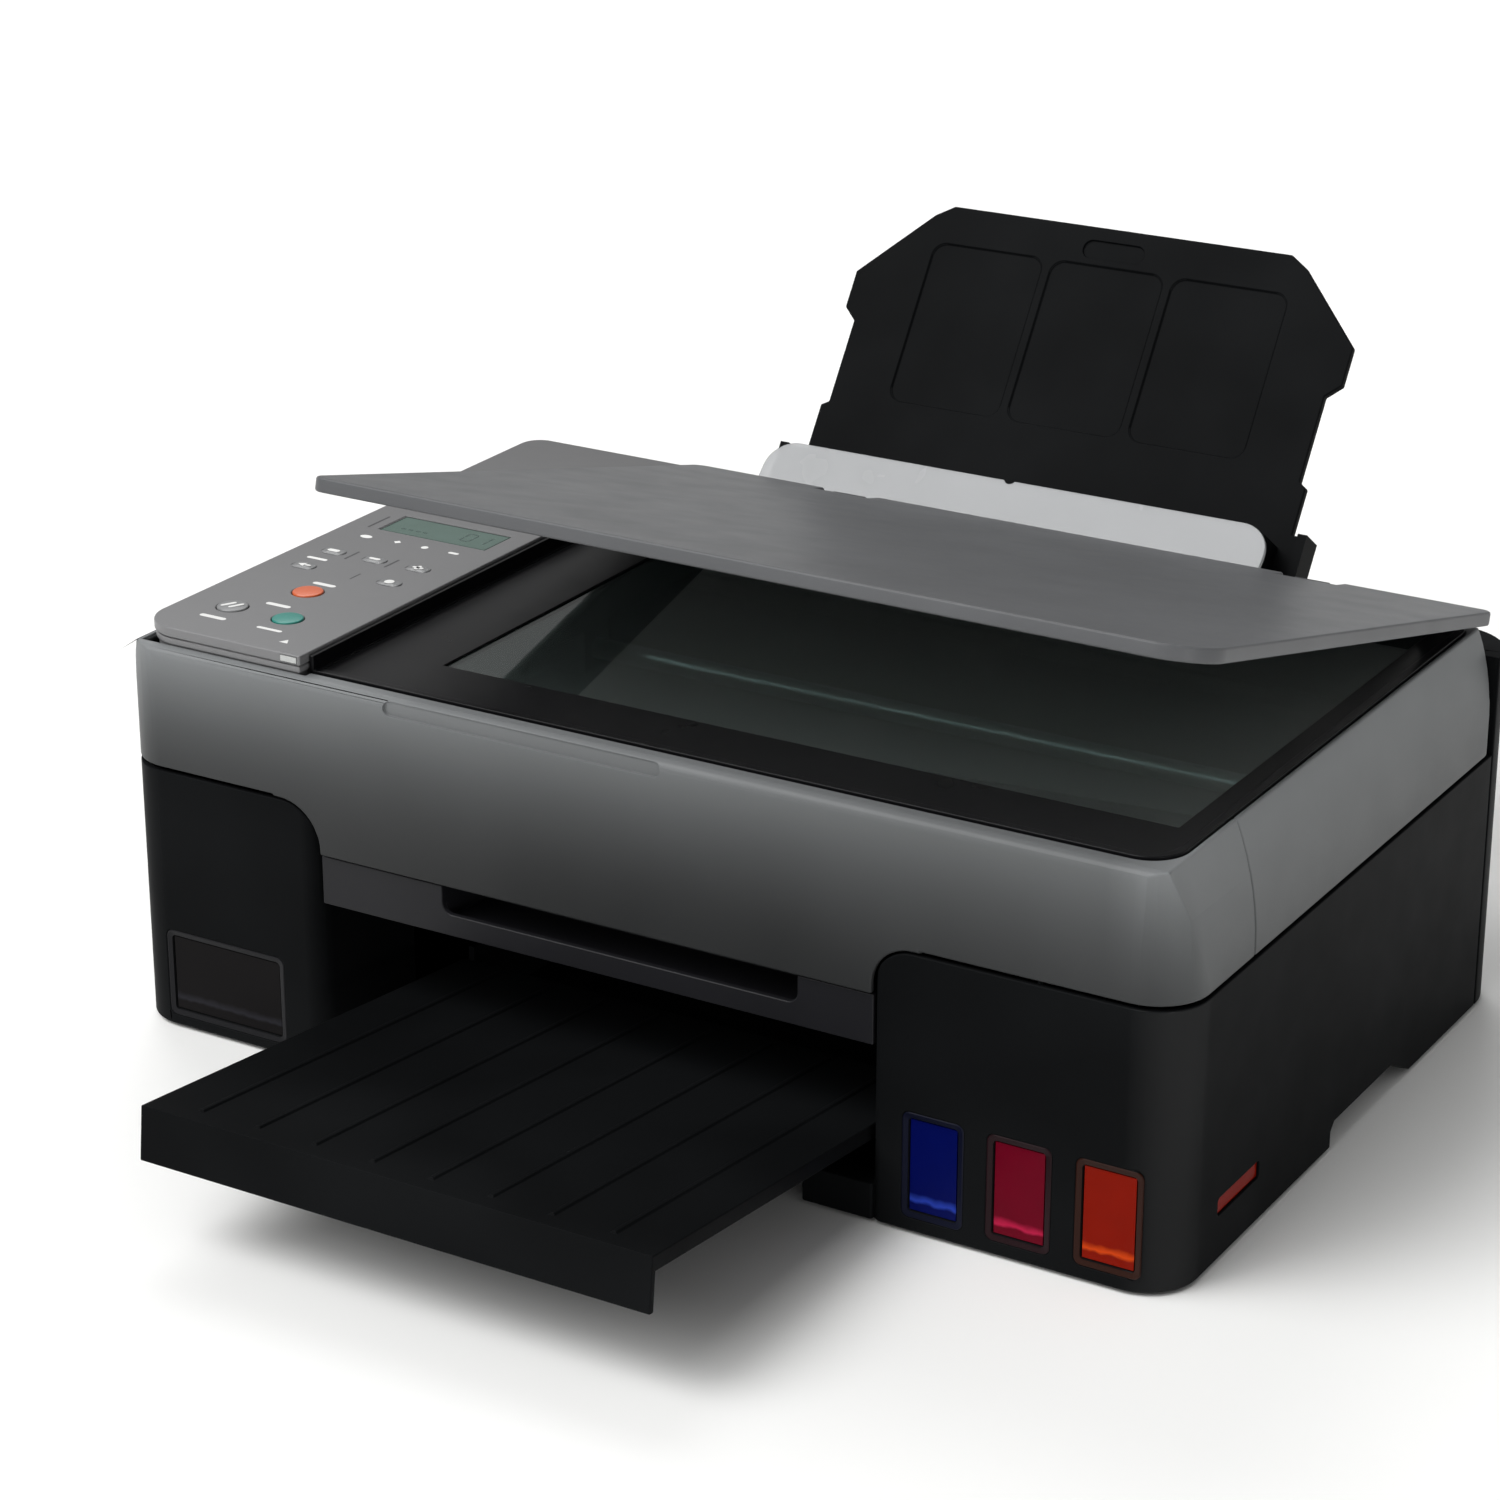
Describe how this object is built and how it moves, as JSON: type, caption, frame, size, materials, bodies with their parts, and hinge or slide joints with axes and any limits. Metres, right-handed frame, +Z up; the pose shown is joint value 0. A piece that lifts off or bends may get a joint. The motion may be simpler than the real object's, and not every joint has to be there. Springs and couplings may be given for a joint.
{
  "type": "inkjet printer",
  "caption": "desktop inkjet printer and copier with a lifting scanner unit, hinged document cover, refillable ink tanks, rear paper tray and pull-out output tray",
  "frame": {"origin": "on the desk, below the middle of the printer's case", "axes": "X to the right, Y to the back, Z up; the front faces -Y"},
  "size_m": [0.445, 0.5393, 0.2556],
  "materials": {
    "black_case": "fine spark texture",
    "charcoal_case": "fine spark texture",
    "grey_case": "satin",
    "cover_grey": "fine spark texture",
    "panel_grey": "semi gloss",
    "frame_black": "semi gloss",
    "rubber": "matt",
    "steel": "brushed",
    "black_ink": "clear, filled",
    "cyan_ink": "clear, filled",
    "magenta_ink": "clear, filled",
    "yellow_ink": "clear, filled",
    "engine_plastic": "moulded",
    "belt_rubber": "matt",
    "motor_steel": "satin",
    "board_green": "solder mask",
    "head_black": "moulded",
    "head_colour": "moulded",
    "brass": "turned",
    "white_plastic": "moulded",
    "roller_rubber": "ground",
    "roller_steel": "coated",
    "platen_glass": "polished",
    "display": "polished",
    "lamp_clear": "frosted",
    "stop_orange": "satin",
    "start_teal": "satin",
    "key_light": "satin",
    "key_dark": "satin",
    "pad_white": "foam with a smooth skin",
    "smoke_clear": "smoke tinted, polished"
  },
  "bodies": {
    "lower_case": {"base_pan": "black_case", "left_side_cover": "black_case", "right_side_cover": "black_case", "rear_housing": "black_case", "front_chin": "charcoal_case", "rubber_feet": "rubber", "case_screws": "steel", "black_ink_tank": "black_ink", "cyan_ink_tank": "cyan_ink", "magenta_ink_tank": "magenta_ink", "yellow_ink_tank": "yellow_ink", "ink_tank_caps": "engine_plastic", "engine_frame": "steel", "print_platen": "engine_plastic", "carriage_rail": "steel", "carriage_belt": "belt_rubber", "carriage_motor": "motor_steel", "feed_motor": "motor_steel", "cap_unit": "engine_plastic", "main_board": "board_green", "power_supply": "engine_plastic", "maintenance_cartridge": "engine_plastic", "rear_tray": "black_case"},
    "carriage": {"print_carriage": "engine_plastic", "black_print_head": "head_black", "colour_print_head": "head_colour"},
    "drive_pulley": {"belt_drive_pulley": "brass"},
    "idler_pulley": {"belt_idler_pulley": "white_plastic"},
    "pickup": {"pickup_roller": "roller_rubber"},
    "line_feed": {"line_feed_roller": "roller_steel"},
    "pinch": {"pinch_rollers": "roller_rubber"},
    "idler": {"idler_gear": "white_plastic"},
    "output": {"output_roller": "roller_rubber"},
    "stars": {"star_wheels": "steel"},
    "pinion": {"feed_motor_pinion": "brass"},
    "scanner_unit": {"scanner_case": "grey_case", "scanner_lower_case": "engine_plastic", "platen_frame": "frame_black", "platen_glass": "platen_glass", "scan_rail": "steel", "control_panel": "panel_grey", "display_window": "display", "alarm_lamp_window": "lamp_clear"},
    "scan_head": {"scan_carriage": "engine_plastic"},
    "cover": {"document_cover": "cover_grey", "cover_pad": "pad_white", "cover_hinges": "engine_plastic"},
    "support": {"paper_support": "black_case"},
    "left_guide": {"left_paper_guide": "black_case"},
    "right_guide": {"right_paper_guide": "black_case"},
    "slot_cover": {"feed_slot_cover": "smoke_clear"},
    "tray": {"output_tray": "black_case"},
    "stop_key_body": {"stop_key": "stop_orange"},
    "colour_start_key_body": {"colour_start_key": "start_teal"},
    "black_start_key_body": {"black_start_key": "key_light"},
    "menu_key_1_body": {"menu_key_1": "key_dark"},
    "menu_key_2_body": {"menu_key_2": "key_dark"},
    "menu_key_3_body": {"menu_key_3": "key_dark"},
    "menu_key_4_body": {"menu_key_4": "key_dark"},
    "menu_key_5_body": {"menu_key_5": "key_dark"}
  },
  "joints": [
    {"name": "scanner_unit_lift", "type": "hinge", "parent": "lower_case", "child": "scanner_unit", "pos_m": [0, 0.127, 0.152], "axis": [-1, 0, 0], "range_deg": [0, 38]},
    {"name": "cover_swing", "type": "hinge", "parent": "scanner_unit", "child": "cover", "pos_m": [0, 0.122, 0.161], "axis": [1, 0, 0], "range_deg": [-55.5, 14.5]},
    {"name": "scan_carriage_travel", "type": "slide", "parent": "scanner_unit", "child": "scan_head", "axis": [1, 0, 0], "range_m": [0, 0.3]},
    {"name": "print_carriage_travel", "type": "slide", "parent": "lower_case", "child": "carriage", "axis": [1, 0, 0], "range_m": [-0.3, 0]},
    {"name": "drive_pulley_spin", "type": "hinge", "parent": "lower_case", "child": "drive_pulley", "pos_m": [0.182, 0.034, 0.088], "axis": [0, 1, 0], "range_deg": [0, 2870]},
    {"name": "idler_pulley_spin", "type": "hinge", "parent": "lower_case", "child": "idler_pulley", "pos_m": [-0.182, 0.034, 0.088], "axis": [0, 1, 0], "range_deg": [0, 2870]},
    {"name": "line_feed_spin", "type": "hinge", "parent": "lower_case", "child": "line_feed", "pos_m": [0, 0.018, 0.05], "axis": [1, 0, 0], "continuous": true},
    {"name": "pickup_spin", "type": "hinge", "parent": "lower_case", "child": "pickup", "pos_m": [0, 0.10436, 0.0872], "axis": [1, 0, 0], "continuous": true},
    {"name": "pinch_spin", "type": "hinge", "parent": "lower_case", "child": "pinch", "pos_m": [0, 0.018, 0.0598], "axis": [1, 0, 0], "continuous": true},
    {"name": "idler_gear_spin", "type": "hinge", "parent": "lower_case", "child": "idler", "pos_m": [-0.197, -0.0165, 0.05], "axis": [1, 0, 0], "continuous": true},
    {"name": "output_roller_spin", "type": "hinge", "parent": "lower_case", "child": "output", "pos_m": [0, -0.048, 0.05], "axis": [1, 0, 0], "continuous": true},
    {"name": "star_wheel_spin", "type": "hinge", "parent": "lower_case", "child": "stars", "pos_m": [0, -0.048, 0.0594], "axis": [1, 0, 0], "continuous": true},
    {"name": "motor_pinion_spin", "type": "hinge", "parent": "lower_case", "child": "pinion", "pos_m": [-0.197, 0.0405, 0.05], "axis": [1, 0, 0], "continuous": true},
    {"name": "paper_support_slide", "type": "slide", "parent": "lower_case", "child": "support", "axis": [0, 0.5678, 0.8231], "range_m": [-0.11, 0]},
    {"name": "left_guide_slide", "type": "slide", "parent": "lower_case", "child": "left_guide", "axis": [1, 0, 0], "range_m": [0, 0.05]},
    {"name": "right_guide_slide", "type": "slide", "parent": "lower_case", "child": "right_guide", "axis": [1, 0, 0], "range_m": [-0.05, 0]},
    {"name": "slot_cover_swing", "type": "hinge", "parent": "lower_case", "child": "slot_cover", "pos_m": [0, 0.133, 0.148], "axis": [-1, 0, 0], "range_deg": [-50, 0]},
    {"name": "output_tray_slide", "type": "slide", "parent": "lower_case", "child": "tray", "axis": [0, 0.9942, -0.108], "range_m": [0, 0.137]},
    {"name": "stop_key_press", "type": "slide", "parent": "scanner_unit", "child": "stop_key_body", "axis": [0, 0, -1], "range_m": [0, 0.0008], "stiffness_N_per_m": 300, "springref_m": -0.0006},
    {"name": "colour_start_key_press", "type": "slide", "parent": "scanner_unit", "child": "colour_start_key_body", "axis": [0, 0, -1], "range_m": [0, 0.0008], "stiffness_N_per_m": 300, "springref_m": -0.0006},
    {"name": "black_start_key_press", "type": "slide", "parent": "scanner_unit", "child": "black_start_key_body", "axis": [0, 0, -1], "range_m": [0, 0.0008], "stiffness_N_per_m": 300, "springref_m": -0.0006},
    {"name": "menu_key_1_press", "type": "slide", "parent": "scanner_unit", "child": "menu_key_1_body", "axis": [0, 0, -1], "range_m": [0, 0.0008], "stiffness_N_per_m": 300, "springref_m": -0.0006},
    {"name": "menu_key_2_press", "type": "slide", "parent": "scanner_unit", "child": "menu_key_2_body", "axis": [0, 0, -1], "range_m": [0, 0.0008], "stiffness_N_per_m": 300, "springref_m": -0.0006},
    {"name": "menu_key_3_press", "type": "slide", "parent": "scanner_unit", "child": "menu_key_3_body", "axis": [0, 0, -1], "range_m": [0, 0.0008], "stiffness_N_per_m": 300, "springref_m": -0.0006},
    {"name": "menu_key_4_press", "type": "slide", "parent": "scanner_unit", "child": "menu_key_4_body", "axis": [0, 0, -1], "range_m": [0, 0.0008], "stiffness_N_per_m": 300, "springref_m": -0.0006},
    {"name": "menu_key_5_press", "type": "slide", "parent": "scanner_unit", "child": "menu_key_5_body", "axis": [0, 0, -1], "range_m": [0, 0.0008], "stiffness_N_per_m": 300, "springref_m": -0.0006}
  ],
  "couplings": [
    {"joint": "drive_pulley_spin", "follows": "print_carriage_travel", "rad_per_m": -166.67},
    {"joint": "idler_pulley_spin", "follows": "print_carriage_travel", "rad_per_m": -166.67},
    {"joint": "right_guide_slide", "follows": "left_guide_slide", "ratio": -1},
    {"joint": "pickup_spin", "follows": "line_feed_spin", "ratio": -0.40541},
    {"joint": "pinch_spin", "follows": "line_feed_spin", "ratio": -1.7143},
    {"joint": "idler_gear_spin", "follows": "line_feed_spin", "ratio": -1.0909},
    {"joint": "output_roller_spin", "follows": "line_feed_spin", "ratio": 1.2},
    {"joint": "star_wheel_spin", "follows": "line_feed_spin", "ratio": -1.5},
    {"joint": "motor_pinion_spin", "follows": "line_feed_spin", "ratio": -4}
  ]
}
